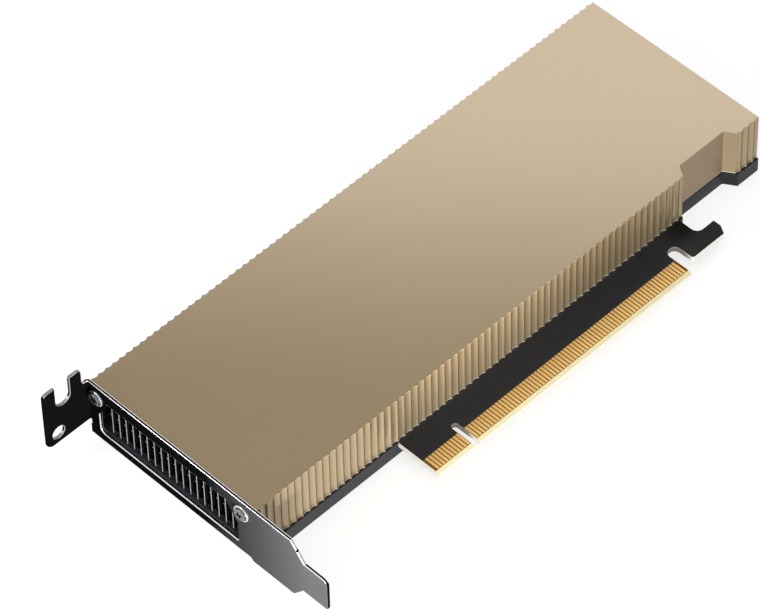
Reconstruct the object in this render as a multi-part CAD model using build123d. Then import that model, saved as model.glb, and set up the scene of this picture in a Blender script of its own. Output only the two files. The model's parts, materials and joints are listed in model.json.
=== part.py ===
from build123d import *
import math
import os

# A passive, low-profile, half-length accelerator card. All lengths are in millimetres.
# Origin: the centre of the key notch, on the connector edge, on the component side of the board.
# +X runs from the bracket to the rear, +Y away from the connector edge, +Z off the component side.

# Overall size of the card, from the slot standard
card_length = 167.65
card_height = 68.9
bracket_x = -57.15
rear_x = bracket_x + card_length

# How far a cutting shape runs past what it cuts
overrun = 1.0

# Circuit board and its edge connector
board_thickness = 1.57
contact_pitch = 1.0
contacts_before_key = 11
contacts_after_key = 71
first_contact_x = 1.5
contact_width = 0.7
contact_length = 4.2
contact_start = 1.15
contact_thickness = 0.05
tongue_margin = 1.1
bevel_length = 1.0
bevel_depth = 0.4
notch_width = 1.9
notch_depth = 8.15
tongue_front_x = -first_contact_x - (contacts_before_key - 1) * contact_pitch - tongue_margin
tongue_rear_x = first_contact_x + (contacts_after_key - 1) * contact_pitch + tongue_margin

# Retention hook behind the connector
hook_slot_width = 3.55
hook_slot_depth = 8.85
hook_length = 12.15
hook_low_y = 2.85
hook_height = 4.55
hook_neck = 6.45
hook_corner = 0.7
hook_root_radius = 1.95
hook_tip_run = 1.3
hook_tip_rise = 2.3
hook_x = tongue_rear_x + hook_slot_width

# Cover: a channel with fluted side walls, open at both ends and below
cover_near_y = 13.4
cover_top = 14.47
cover_top_thickness = 1.0
cover_wall = 1.05
cover_gap = 0.15
flute_pitch = 2.2
flute_depth = 0.45
flute_facets = 3
near_ridge_x = 82.38
far_ridge_x = 82.12
recess_front_x = 83.75
recess_length = 19.5
recess_depth = 3.2
recess_slant = 2.05
recess_corner = 0.7
cover_inner_near = cover_near_y + flute_depth + cover_wall
cover_inner_far = card_height - flute_depth - cover_wall
cover_ceiling = cover_top - cover_top_thickness

# Backplate: a shallow tray with a rim round the board
underside_height = 2.63
tray_floor = 1.2
rim_thickness = 0.9
rim_proud = 0.2
rim_clearance = 0.15
tray_bottom = -board_thickness - underside_height
tray_floor_top = tray_bottom + tray_floor
tray_near_y = cover_near_y - rim_proud
front_clearance = 0.15
film_thickness = 0.2
film_clearance = 0.3

# Screws that hold cover, board and backplate together
screw_radius = 1.0
screw_clearance = 0.15
screw_reach = 5.0
thread_slack = 0.03
boss_wall = 0.6
boss_sink = 0.35
boss_bore_spare = 1.5
countersink_radius = 1.85
countersink_depth = 0.85
tray_pad_wall = 1.0
boss_half = screw_radius + boss_wall
near_boss_y = cover_inner_near + boss_half - boss_sink
far_boss_y = cover_inner_far - boss_half + boss_sink
tray_pad_half = screw_radius + screw_clearance + tray_pad_wall
cover_screw_from_bracket = 9.15
cover_screw_from_recess = 5.25
cover_screw_from_rear = 6.5
front_screws_x = bracket_x + cover_screw_from_bracket
cover_screw_places = [
    (front_screws_x, near_boss_y),
    (front_screws_x, far_boss_y),
    (recess_front_x - cover_screw_from_recess, near_boss_y),
    (rear_x - cover_screw_from_rear, far_boss_y),
]

# Bracket: one folded sheet, low-profile size
sheet = 0.86
bracket_length = 79.2
bracket_width = 18.42
bracket_top = 15.15
bend_radius = 0.35
bracket_beyond_board = 0.55
bracket_far_y = card_height + bracket_beyond_board
bend_line_y = bracket_far_y - sheet - bend_radius
tongue_tip_y = bracket_far_y - bracket_length
tongue_width = 10.19
tongue_centre_z = 4.95
tongue_corner = 1.7
shoulder_from_tip = 11.45
shoulder_y = tongue_tip_y + shoulder_from_tip
shoulder_slope = 0.8
lower_shoulder_step = 0.5
belly_from_shoulder = 12.9
belly_far_y = shoulder_y + belly_from_shoulder
belly_drop = 0.88
bend_relief = 1.2
plate_beyond_bend_line = 0.5
bracket_bottom = bracket_top - bracket_width

# Tab that is screwed to the chassis
tab_reach = 13.45
tab_bottom = 1.5
tab_top = 20.6
tab_slot_width = 4.42
tab_slot_from_sheet = 5.32
tab_slot_bottom = 13.45
tab_lower_corner = 2.0
tab_upper_corner = 1.2
tab_prong_step = 1.6
tab_notch_z = 16.3
tab_hole_radius = 1.8
tab_hole_from_sheet = 9.75
tab_hole_z = 5.0

# Vent in the bracket and the two screws beside it
vent_low_z = -0.4
vent_high_z = 11.4
vent_slant_z = 6.0
vent_near_slant = 3.6
vent_far_slant = 2.9
vent_far_corner = 1.5
vent_near_corner = 0.4
bracket_screw_near_inset = 2.6
bracket_screw_far_inset = 1.5
bracket_screw_z = 11.3
bracket_screw_radius = 1.25
bracket_screw_clearance = 0.15
bracket_screw_reach = 5.0
screw_head_radius = 2.3
screw_head_height = 1.1
screw_head_edge = 0.5
screw_head_flat_radius = 1.7
bracket_boss_half = 2.2
bracket_boss_length = 7.0
bracket_screws_y = [cover_inner_near + bracket_screw_near_inset, cover_inner_far - bracket_screw_far_inset]
vent_past_near_screw = 1.8
vent_short_of_far_screw = 0.7
vent_near_y = bracket_screws_y[0] + vent_past_near_screw
vent_far_y = bracket_screws_y[1] - vent_short_of_far_screw

# Processor, its stiffener and its memory
processor_x = 20.0
processor_y = (cover_inner_near + cover_inner_far) / 2
substrate_size = 32.0
substrate_height = 1.1
die_length = 20.0
die_width = 16.0
die_height = 0.8
ring_width = 3.0
ring_height = 0.5
ring_inset = 1.0
paste_thickness = 0.1
memory_length = 14.0
memory_width = 12.0
memory_height = 1.1
memory_gap = 1.3
memory_count_per_side = 2
memory_from_processor = 2.0
pad_margin = 0.5
memory_offset_x = substrate_size / 2 + memory_from_processor + memory_width / 2

# Heat spreader and the fin stack on it
die_top = substrate_height + die_height + paste_thickness
spreader_lift = 0.4
spreader_bottom = die_top + spreader_lift
spreader_thickness = 2.6
spreader_top = spreader_bottom + spreader_thickness
spreader_margin = 2.0
pedestal_margin = 1.0
fin_pitch = 2.353
fin_thickness = 0.3
fin_far_gap = 5.4
fin_far_y = cover_inner_far - fin_far_gap
fin_side_clearance = 0.6
fin_front_gap = 0.25
fin_front_z = 1.9
fin_rear_gap = 6.5
fin_top_gap = 0.17
fin_end_flange = 1.0
fin_step_clearance = 1.2
fin_top = cover_ceiling - fin_top_gap
fin_front_x = bracket_x + fin_front_gap
fin_rear_x = rear_x - fin_rear_gap
near_recess_inner = cover_near_y + recess_depth + cover_wall
fin_count = math.floor((fin_far_y - near_recess_inner - fin_side_clearance) / fin_pitch) + 1
fin_near_y = fin_far_y - (fin_count - 1) * fin_pitch

# Power supply behind the memory
power_gap = 2.0
bulk_length = 4.3
bulk_width = 7.3
bulk_height = 2.8
bulk_count = 4
inductor_size = 7.0
inductor_height = 4.2
inductor_count = 4
stage_length = 5.0
stage_width = 6.0
stage_height = 0.9
power_row_pitch = 8.4
window_clearance = 1.0
input_inductor_size = 10.0
input_inductor_height = 4.0
fuse_length = 6.0
fuse_width = 2.7
fuse_height = 1.4
fuse_offset_y = -12.0
memory_rear_x = processor_x + memory_offset_x + memory_width / 2
window_front_x = memory_rear_x + power_gap
bulk_x = window_front_x + window_clearance + bulk_length / 2
inductor_x = bulk_x + bulk_length / 2 + window_clearance + inductor_size / 2
window_rear_x = inductor_x + inductor_size / 2 + window_clearance
stage_x = window_rear_x + power_gap + stage_length / 2
spreader_rear_x = stage_x + stage_length / 2 + spreader_margin
spreader_front_x = processor_x - memory_offset_x - memory_width / 2 - spreader_margin
input_inductor_x = spreader_rear_x + power_gap + input_inductor_size / 2

# Small parts in front of the memory, under the low part of the fins
management_size = 7.0
management_height = 0.9
controller_size = 5.0
controller_height = 0.85
flash_length = 6.0
flash_width = 5.0
flash_height = 1.2
crystal_length = 3.2
crystal_width = 2.5
crystal_height = 0.8
front_parts_gap = 16.0
front_parts_x = spreader_front_x - front_parts_gap
controller_offset_y = 12.0
management_offset_y = -2.0
flash_offset_y = -13.0
crystal_gap = 8.0
ceramic_length = 1.6
ceramic_width = 0.8
ceramic_height = 0.8
ceramic_pitch = 2.4
ceramic_row_count = 8
ceramic_gap = 1.0

# Screws from under the board that pull the spreader onto the die
spreader_screw_radius = 1.1
spreader_screw_from_edge = 2.4
spreader_screw_inset = 2.6
spreader_screw_top = 3.2
spreader_head_radius = 2.0
spreader_head_height = 0.8
spreader_bore_spare = 0.5
spreader_post_wall = 1.0
underside_column_count = 4
underside_row_count = 2
underside_row_pitch = 6.0
spreader_screw_x = substrate_size / 2 - spreader_screw_inset
spreader_screw_y = substrate_size / 2 + spreader_screw_from_edge
spreader_post_radius = spreader_screw_radius + spreader_post_wall
spreader_half_width = spreader_screw_y + spreader_post_radius
spreader_screw_places = [
    (processor_x + x, processor_y + y)
    for x in (-spreader_screw_x, spreader_screw_x)
    for y in (-spreader_screw_y, spreader_screw_y)
]


def outline(*corners):
    # A closed face through the corners. A corner with a third number is rounded by that radius.
    face = make_face(Polyline(*[corner[:2] for corner in corners], close=True))
    for corner in corners:
        if len(corner) == 3:
            point = face.vertices().sort_by_distance((corner[0], corner[1], 0))[0]
            face = fillet(point, corner[2])
    return face


def rectangle(x_low, x_high, y_low, y_high):
    return outline((x_low, y_low), (x_high, y_low), (x_high, y_high), (x_low, y_high))


def slab(face, low, high):
    # The XY face as a plate from height low to height high.
    return extrude(Pos(0, 0, low) * face, amount=high - low)


def slab_x(face, low, high):
    # A face drawn in Y and Z, as a plate from x low to x high.
    return extrude(Plane.YZ.offset(low) * face, amount=high - low)


def slab_y(face, low, high):
    # A face drawn in X and Z, as a plate from y low to y high.
    return extrude(Plane.XZ.offset(-high) * face, amount=high - low)


def block(x, y, length, width, low, high):
    # A box centred at x, y between two heights.
    return Pos(x, y, (low + high) / 2) * Box(length, width, high - low)


def post(x, y, radius, low, high):
    return Pos(x, y, low) * Cylinder(radius, high - low, align=(Align.CENTER, Align.CENTER, Align.MIN))


def recess_face(near_y, depth, grow=0.0):
    # The cut in the near wall above the retention hook. It starts well outside the wall.
    outside = 3 * recess_depth
    lean = recess_slant / recess_depth
    front = recess_front_x - grow
    rear = recess_front_x + recess_length + grow
    return outline(
        (front - outside * lean, near_y - outside),
        (front + depth * lean, near_y + depth, recess_corner),
        (rear - depth * lean, near_y + depth, recess_corner),
        (rear + outside * lean, near_y - outside),
    )


def fluted_edge(ridge_x):
    # Points from the bracket to the rear, each with its depth below the ridges between the flutes.
    step = flute_pitch / flute_facets
    first = math.ceil((bracket_x - ridge_x) / step)
    last = math.floor((rear_x - ridge_x) / step)
    places = [bracket_x] + [ridge_x + index * step for index in range(first, last + 1)] + [rear_x]
    return [(x, flute_depth * (1 - (2 * ((x - ridge_x) / flute_pitch % 1) - 1) ** 2)) for x in places]


def bracket_boss(y, outward):
    # A threaded corner boss behind the bracket, grown from the wall and the roof of the cover.
    wall_y = (cover_inner_near if outward < 0 else cover_inner_far) + outward * boss_sink
    sides = sorted((y - outward * bracket_boss_half, wall_y))
    section = rectangle(*sides, bracket_screw_z - bracket_boss_half, cover_ceiling + boss_sink)
    return slab_x(section, bracket_x, bracket_x + bracket_boss_length)


def cover():
    near_side = [(x, cover_near_y + depth) for x, depth in fluted_edge(near_ridge_x)]
    far_side = [(x, card_height - depth) for x, depth in fluted_edge(far_ridge_x)]
    outside = outline(*near_side, *reversed(far_side)) - recess_face(cover_near_y, recess_depth)
    slanted_wall = cover_wall * math.hypot(recess_slant, recess_depth) / recess_depth
    inside = rectangle(bracket_x - overrun, rear_x + overrun, cover_inner_near, cover_inner_far)
    inside -= recess_face(cover_near_y, recess_depth + cover_wall, slanted_wall)
    body = slab(outside, cover_gap, cover_top) - slab(inside, 0, cover_ceiling)
    for x, y in cover_screw_places:
        body += block(x, y, 2 * boss_half, 2 * boss_half, 0, cover_ceiling)
    for y, outward in zip(bracket_screws_y, (-1, 1)):
        body += bracket_boss(y, outward)
    for x, y in cover_screw_places:
        body -= post(x, y, screw_radius + thread_slack, 0, screw_reach + boss_bore_spare)
    for y in bracket_screws_y:
        bore = Pos(y, bracket_screw_z) * Circle(bracket_screw_radius + thread_slack)
        body -= slab_x(bore, bracket_x, bracket_x + bracket_screw_reach + boss_bore_spare)
    return body


def tray_outline():
    full = rectangle(bracket_x + front_clearance, rear_x, tray_near_y, card_height)
    return full - recess_face(tray_near_y, recess_depth)


def inside_rim(inset):
    # The tray's outline drawn in by the inset on the three sides that have a rim.
    face = offset(tray_outline(), -inset)
    front = bracket_x + front_clearance
    return face + rectangle(front, front + 2 * inset, tray_near_y + inset, card_height - inset)


def round_ended_cut(middle_x, width, depth):
    # A cut into the connector edge that ends in a half circle.
    end_y = depth - width / 2
    straight = rectangle(middle_x - width / 2, middle_x + width / 2, -overrun, end_y)
    return straight + Pos(middle_x, end_y) * Circle(width / 2)


def connector_outline():
    # The tongue, and the hook behind it, both joined to the board above them.
    root_y = tray_near_y + rim_thickness + rim_clearance + overrun
    neck_x = hook_x + hook_neck
    tip_x = hook_x + hook_length
    top_y = hook_low_y + hook_height
    tongue = rectangle(tongue_front_x, tongue_rear_x, 0, root_y)
    hook = outline(
        (hook_x, hook_low_y, hook_corner),
        (tip_x - hook_tip_run, hook_low_y),
        (tip_x, hook_low_y + hook_tip_rise),
        (tip_x, top_y),
        (neck_x, top_y, hook_root_radius),
        (neck_x, root_y),
        (hook_x, root_y),
    )
    bridge = rectangle(tongue_rear_x, hook_x + overrun, hook_low_y + hook_height / 2, root_y)
    slot = round_ended_cut(tongue_rear_x + hook_slot_width / 2, hook_slot_width, hook_slot_depth)
    return tongue + hook + bridge - slot - round_ended_cut(0, notch_width, notch_depth)


def circuit_board():
    face = inside_rim(rim_thickness + rim_clearance) + connector_outline()
    board = slab(face, -board_thickness, 0)
    for side in (0, 1):
        edge_z = -side * board_thickness
        inward = -1 if side == 0 else 1
        wedge = outline(
            (-bevel_length, edge_z + 2 * inward * bevel_depth),
            (2 * bevel_length, edge_z - inward * bevel_depth),
            (-bevel_length, edge_z - inward * bevel_depth),
        )
        board -= slab_x(wedge, tongue_front_x - overrun, tongue_rear_x + overrun)
    for x, y in cover_screw_places:
        board -= post(x, y, screw_radius + screw_clearance, -board_thickness - overrun, overrun)
    for x, y in spreader_screw_places:
        board -= post(x, y, spreader_screw_radius + screw_clearance, -board_thickness - overrun, overrun)
    return board


def contacts(low, high):
    before = [-first_contact_x - index * contact_pitch for index in range(contacts_before_key)]
    after = [first_contact_x + index * contact_pitch for index in range(contacts_after_key)]
    middle_y = contact_start + contact_length / 2
    return [block(x, middle_y, contact_width, contact_length, low, high) for x in before + after]


def backplate():
    tray = slab(tray_outline(), tray_bottom, 0) - slab(inside_rim(rim_thickness), tray_floor_top, overrun)
    # The rim is lower where the connector and the hook pass over it.
    under_board = -board_thickness - rim_clearance
    tray -= slab(
        rectangle(
            tongue_front_x - rim_clearance,
            hook_x + hook_neck + rim_clearance,
            tray_near_y - overrun,
            tray_near_y + rim_thickness + rim_clearance,
        ),
        under_board,
        overrun,
    )
    for x, y in cover_screw_places:
        tray += block(x, y, 2 * tray_pad_half, 2 * tray_pad_half, tray_bottom, -board_thickness)
    for x, y in cover_screw_places:
        tray -= post(x, y, screw_radius + screw_clearance, tray_bottom, 0)
        tray -= cover_screw_head(x, y, screw_clearance / 2)
    return tray


def cone(x, y, low_radius, high_radius, low, high):
    align = (Align.CENTER, Align.CENTER, Align.MIN)
    return Pos(x, y, low) * Cone(low_radius, high_radius, high - low, align=align)


def cover_screw_head(x, y, grow=0.0):
    # Countersunk, flush with the underside of the backplate.
    top = tray_bottom + countersink_depth
    return cone(x, y, countersink_radius + grow, screw_radius + grow, tray_bottom, top)


def cover_screws():
    screws = []
    for x, y in cover_screw_places:
        shank = post(x, y, screw_radius, tray_bottom + countersink_depth, screw_reach)
        screws.append(cover_screw_head(x, y) + shank)
    return screws


def bracket_screws():
    screws = []
    face_x = bracket_x - sheet
    for y in bracket_screws_y:
        profile = outline(
            (0, 0),
            (screw_head_radius, 0),
            (screw_head_radius, screw_head_edge),
            (screw_head_flat_radius, screw_head_height),
            (0, screw_head_height),
        )
        head = revolve(Plane.XZ * profile, Axis.Z)
        shank = post(0, 0, bracket_screw_radius, -sheet - bracket_screw_reach, 0)
        seat = Plane(origin=(face_x, y, bracket_screw_z), x_dir=(0, 1, 0), z_dir=(-1, 0, 0))
        screws.append(seat * (head + shank))
    return screws


def bracket_plate_outline():
    tongue_high = tongue_centre_z + tongue_width / 2
    tongue_low = tongue_centre_z - tongue_width / 2
    belly = bracket_bottom - belly_drop
    upper_run = (bracket_top - tongue_high) * shoulder_slope
    lower_run = (tongue_low - belly) * shoulder_slope
    lower_y = shoulder_y - upper_run + lower_shoulder_step
    return outline(
        (tongue_tip_y, tongue_low, tongue_corner / 2),
        (tongue_tip_y, tongue_high, tongue_corner),
        (shoulder_y - upper_run, tongue_high),
        (shoulder_y, bracket_top),
        (bend_line_y, bracket_top),
        (bend_line_y, tab_bottom - bend_relief),
        (bend_line_y + plate_beyond_bend_line, tab_bottom - bend_relief),
        (bend_line_y + plate_beyond_bend_line, bracket_bottom),
        (belly_far_y + belly_drop, bracket_bottom),
        (belly_far_y, belly),
        (lower_y + lower_run, belly),
        (lower_y, tongue_low),
    )


def bracket_tab_outline():
    face_x = bracket_x - sheet
    end_x = face_x - tab_reach
    slot_inner = face_x - tab_slot_from_sheet
    slot_outer = slot_inner - tab_slot_width
    prong_x = face_x - tab_prong_step
    half = tab_slot_width / 2
    tab = outline(
        (bracket_x, tab_bottom),
        (bracket_x, bracket_top),
        (prong_x + tab_prong_step / 3, bracket_top),
        (prong_x, tab_notch_z),
        (prong_x, tab_top, tab_upper_corner),
        (end_x, tab_top, tab_upper_corner),
        (end_x, tab_bottom, tab_lower_corner),
    )
    slot = rectangle(slot_outer, slot_inner, tab_slot_bottom + half, tab_top + overrun)
    slot += Pos(slot_inner - half, tab_slot_bottom + half) * Circle(half)
    return tab - slot - Pos(face_x - tab_hole_from_sheet, tab_hole_z) * Circle(tab_hole_radius)


def vent_outline():
    # The upper corners are cut off beside the two screws.
    return outline(
        (vent_near_y, vent_low_z, vent_near_corner),
        (vent_far_y, vent_low_z, vent_far_corner),
        (vent_far_y, vent_slant_z),
        (vent_far_y - vent_far_slant, vent_high_z),
        (vent_near_y + vent_near_slant, vent_high_z),
        (vent_near_y, vent_slant_z),
    )


def bracket():
    # The flat part of the bracket, up to the line where its bend begins.
    plan = bracket_plate_outline() - vent_outline()
    for y in bracket_screws_y:
        plan -= Pos(y, bracket_screw_z) * Circle(bracket_screw_radius + bracket_screw_clearance)
    return slab_x(plan, bracket_x - sheet, bracket_x)


def bracket_tab():
    # The bend and the tab beyond it, cut from a folded strip.
    face_x = bracket_x - sheet
    end_x = face_x - tab_reach
    folded = outline(
        (face_x, shoulder_y),
        (bracket_x, shoulder_y),
        (bracket_x, bracket_far_y, bend_radius + sheet),
        (end_x, bracket_far_y),
        (end_x, bracket_far_y - sheet),
        (face_x, bracket_far_y - sheet, bend_radius),
    )
    return slab(folded, tab_bottom, tab_top) & slab_y(bracket_tab_outline(), bend_line_y, bracket_far_y)


def fin(low, x_low, x_high, flange):
    # A folded strip: a web with a foot and a top flange that reach the next fin.
    half = fin_thickness / 2
    section = outline(
        (-half, low),
        (flange, low),
        (flange, low + fin_thickness),
        (half, low + fin_thickness),
        (half, fin_top - fin_thickness),
        (flange, fin_top - fin_thickness),
        (flange, fin_top),
        (-half, fin_top),
    )
    return slab_x(section, x_low, x_high)


def fin_stack():
    step_x = spreader_front_x - fin_step_clearance
    set_back_x = bracket_x + bracket_boss_length + fin_side_clearance
    fins = []
    for index in range(fin_count):
        y = fin_near_y + index * fin_pitch
        beside_boss = y - bracket_screws_y[0] < bracket_boss_half + fin_side_clearance
        start_x = set_back_x if beside_boss else fin_front_x
        flange = fin_end_flange if index == fin_count - 1 else fin_pitch - fin_thickness / 2
        front = fin(fin_front_z, start_x, step_x, flange)
        fins.append(Pos(0, y, 0) * (front + fin(spreader_top, step_x, fin_rear_x, flange)))
    return fins


def power_rows(count):
    return [processor_y + y for y in centred_row(count, power_row_pitch)]


def heat_spreader():
    near_y = processor_y - spreader_half_width
    far_y = processor_y + spreader_half_width
    window_half = ((inductor_count - 1) * power_row_pitch + bulk_width) / 2 + window_clearance
    plan = rectangle(spreader_front_x, spreader_rear_x, near_y, far_y)
    plan -= rectangle(window_front_x, window_rear_x, processor_y - window_half, processor_y + window_half)
    plate = slab(plan, spreader_bottom, spreader_top)
    plate += block(
        processor_x, processor_y, die_length + 2 * pedestal_margin, die_width + 2 * pedestal_margin,
        die_top, spreader_bottom + spreader_lift,
    )
    bore_top = spreader_screw_top + spreader_bore_spare
    for x, y in spreader_screw_places:
        plate += slab(Pos(x, y) * RegularPolygon(spreader_post_radius, 6), 0, spreader_bottom)
        plate -= post(x, y, spreader_screw_radius + thread_slack, 0, bore_top)
    return plate


def spreader_screws():
    top = -board_thickness
    return [
        post(x, y, spreader_head_radius, top - spreader_head_height, top)
        + post(x, y, spreader_screw_radius, top, spreader_screw_top)
        for x, y in spreader_screw_places
    ]


def centred_row(count, pitch):
    return [(index - (count - 1) / 2) * pitch for index in range(count)]


def memory_places():
    rows = centred_row(memory_count_per_side, memory_length + memory_gap)
    return [(processor_x + side * memory_offset_x, processor_y + y) for side in (-1, 1) for y in rows]


def chips(places, length, width, low, high):
    return [block(x, y, length, width, low, high) for x, y in places]


def stiffener_ring():
    outer = substrate_size - 2 * ring_inset
    ring = Rectangle(outer, outer) - Rectangle(outer - 2 * ring_width, outer - 2 * ring_width)
    return slab(Pos(processor_x, processor_y) * ring, substrate_height, substrate_height + ring_height)


def insulating_film():
    low = tray_floor_top
    high = low + film_thickness
    film = slab(inside_rim(rim_thickness + rim_clearance), low, high)
    pad_hole = 2 * (tray_pad_half + film_clearance)
    for x, y in cover_screw_places:
        film -= block(x, y, pad_hole, pad_hole, low, high)
    for x, y in memory_places():
        film -= block(x, y, memory_width + film_clearance, memory_length + film_clearance, low, high)
    return film


def ceramic_places():
    offset_x = memory_offset_x + memory_width / 2 + ceramic_gap
    rows = centred_row(ceramic_row_count, ceramic_pitch)
    return [(processor_x + side * offset_x, processor_y + y) for side in (-1, 1) for y in rows]


def underside_places():
    columns = centred_row(underside_column_count, ceramic_pitch)
    rows = centred_row(underside_row_count, underside_row_pitch)
    return [(processor_x + x, processor_y + y) for x in columns for y in rows]


def nodes():
    below = -board_thickness
    die_bottom = substrate_height
    paste_bottom = die_bottom + die_height
    controller_y = processor_y + controller_offset_y
    management_y = processor_y + management_offset_y
    pad_width = memory_width - 2 * pad_margin
    pad_length = memory_length - 2 * pad_margin
    memories = memory_places()
    memory_bottom = below - memory_height
    inductors = [(inductor_x, y) for y in power_rows(inductor_count)]
    stages = [(stage_x, y) for y in power_rows(inductor_count)]
    bulks = [(bulk_x, y) for y in power_rows(bulk_count)]
    size = input_inductor_size
    return {
        "circuit_board": circuit_board(),
        "contacts_component_side": contacts(0, contact_thickness),
        "contacts_solder_side": contacts(below - contact_thickness, below),
        "cover": cover(),
        "cover_screws": cover_screws(),
        "bracket": bracket(),
        "bracket_tab": bracket_tab(),
        "bracket_screws": bracket_screws(),
        "backplate": backplate(),
        "insulating_film": insulating_film(),
        "fin_stack": fin_stack(),
        "heat_spreader": heat_spreader(),
        "spreader_screws": spreader_screws(),
        "processor_substrate": block(
            processor_x, processor_y, substrate_size, substrate_size, 0, substrate_height
        ),
        "processor_die": block(processor_x, processor_y, die_length, die_width, die_bottom, paste_bottom),
        "thermal_paste": block(processor_x, processor_y, die_length, die_width, paste_bottom, die_top),
        "stiffener_ring": stiffener_ring(),
        "memory_chips": chips(memories, memory_width, memory_length, 0, memory_height),
        "memory_pads": chips(memories, pad_width, pad_length, memory_height, spreader_bottom),
        "memory_chips_underside": chips(memories, memory_width, memory_length, memory_bottom, below),
        "memory_pads_underside": chips(memories, pad_width, pad_length, tray_floor_top, memory_bottom),
        "power_inductors": chips(inductors, inductor_size, inductor_size, 0, inductor_height),
        "power_stages": chips(stages, stage_length, stage_width, 0, stage_height),
        "power_stage_pads": chips(stages, stage_length, stage_width, stage_height, spreader_bottom),
        "bulk_capacitors": chips(bulks, bulk_length, bulk_width, 0, bulk_height),
        "input_inductor": block(input_inductor_x, processor_y, size, size, 0, input_inductor_height),
        "fuse": block(
            input_inductor_x, processor_y + fuse_offset_y, fuse_length, fuse_width, 0, fuse_height
        ),
        "power_controller": block(
            front_parts_x, controller_y, controller_size, controller_size, 0, controller_height
        ),
        "management_chip": block(
            front_parts_x, management_y, management_size, management_size, 0, management_height
        ),
        "flash_chip": block(
            front_parts_x, processor_y + flash_offset_y, flash_length, flash_width, 0, flash_height
        ),
        "crystal": block(
            front_parts_x - crystal_gap, management_y, crystal_length, crystal_width, 0, crystal_height
        ),
        "ceramic_capacitors": chips(ceramic_places(), ceramic_width, ceramic_length, 0, ceramic_height),
        "underside_capacitors": chips(
            underside_places(), ceramic_length, ceramic_width, below - ceramic_height, below
        ),
    }


os.makedirs("parts", exist_ok=True)
for name, shape in nodes().items():
    if isinstance(shape, list):
        shape = Compound([solid for piece in shape for solid in piece.solids()])
    export_step(shape, f"parts/{name}.step")
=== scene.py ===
import json
import math

import bmesh
import bpy
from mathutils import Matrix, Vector

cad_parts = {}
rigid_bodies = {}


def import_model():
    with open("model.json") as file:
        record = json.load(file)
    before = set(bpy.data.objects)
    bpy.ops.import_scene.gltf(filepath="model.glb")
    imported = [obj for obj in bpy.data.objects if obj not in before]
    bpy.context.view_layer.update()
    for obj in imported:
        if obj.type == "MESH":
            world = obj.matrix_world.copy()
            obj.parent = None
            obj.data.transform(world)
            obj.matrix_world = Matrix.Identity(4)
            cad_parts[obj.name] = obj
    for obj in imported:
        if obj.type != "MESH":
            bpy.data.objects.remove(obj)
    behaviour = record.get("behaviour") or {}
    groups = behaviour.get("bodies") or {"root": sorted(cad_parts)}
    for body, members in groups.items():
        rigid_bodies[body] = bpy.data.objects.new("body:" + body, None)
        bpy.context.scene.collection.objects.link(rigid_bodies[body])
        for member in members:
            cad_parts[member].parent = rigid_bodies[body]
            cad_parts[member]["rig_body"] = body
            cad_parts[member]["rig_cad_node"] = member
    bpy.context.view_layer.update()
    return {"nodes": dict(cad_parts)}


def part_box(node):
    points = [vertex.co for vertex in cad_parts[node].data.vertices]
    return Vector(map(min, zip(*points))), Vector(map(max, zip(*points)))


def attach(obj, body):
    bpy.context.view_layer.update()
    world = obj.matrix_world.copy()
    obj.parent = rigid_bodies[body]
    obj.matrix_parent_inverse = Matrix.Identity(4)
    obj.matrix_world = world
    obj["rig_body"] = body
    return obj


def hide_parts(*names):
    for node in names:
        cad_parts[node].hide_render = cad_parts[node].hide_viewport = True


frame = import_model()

mm = 0.001
nodes = frame["nodes"]

# places that a shape and its material both use
cardPlaces = {
    "flutePitch": 2.2 * mm, "nearRidgeX": 82.38 * mm,
    "finPitch": 2.353 * mm, "farFinY": 62.0 * mm,
}
# how near two corners or places count as one
nearness = {"node": 0.002 * mm, "piece": 0.001 * mm, "line": 0.005 * mm, "place": 0.01 * mm}
flatDegrees = 0.5  # faces that differ less are made one
sharpDegrees = 50  # edges that turn more are bevelled


# Working with objects

def deselectAll():
    if bpy.context.object and bpy.context.object.mode != "OBJECT":
        bpy.ops.object.mode_set(mode="OBJECT")
    bpy.ops.object.select_all(action="DESELECT")


def pick(obj):
    deselectAll()
    obj.select_set(True)
    bpy.context.view_layer.objects.active = obj


def editAll(obj):
    # edit mode, with everything selected
    pick(obj)
    bpy.ops.object.mode_set(mode="EDIT")
    bpy.ops.mesh.select_all(action="SELECT")


def editWhere(obj, kind, test):
    # edit mode, with the vertices, edges or faces selected that pass the test
    editAll(obj)
    bpy.ops.mesh.select_mode(type=kind)
    bpy.ops.mesh.select_all(action="DESELECT")
    mesh = bmesh.from_edit_mesh(obj.data)
    for item in {"VERT": mesh.verts, "EDGE": mesh.edges, "FACE": mesh.faces}[kind]:
        if test(item):
            item.select_set(True)
    bmesh.update_edit_mesh(obj.data)


def editEdges(obj, test):
    # the test gets the edge's two ends, and the edge
    editWhere(obj, "EDGE", lambda edge: test(edge.verts[0].co, edge.verts[1].co, edge))


def editFaces(obj, test):
    # the test gets the face's middle and normal
    editWhere(obj, "FACE", lambda face: test(face.calc_center_median(), face.normal))


def done(obj):
    bpy.ops.object.mode_set(mode="OBJECT")
    return obj


def upright(a, b):
    return abs(a.z - b.z) > mm


def addBox(name, low, high):
    # a cube primitive, stretched between two corners and applied
    deselectAll()
    low, high = Vector(low), Vector(high)
    bpy.ops.mesh.primitive_cube_add(size=1, location=(low + high) / 2)
    obj = bpy.context.object
    obj.name = name
    obj.dimensions = high - low
    bpy.ops.object.transform_apply(location=True, rotation=True, scale=True)
    return obj


def useModifier(obj, kind, **settings):
    pick(obj)
    modifier = obj.modifiers.new(kind.title(), kind)
    for name, value in settings.items():
        setattr(modifier, name, value)
    bpy.ops.object.modifier_apply(modifier=modifier.name)


def repeat(obj, count, step, **settings):
    useModifier(
        obj, "ARRAY", count=count, use_relative_offset=False, use_constant_offset=True,
        constant_offset_displace=step, **settings,
    )


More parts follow.
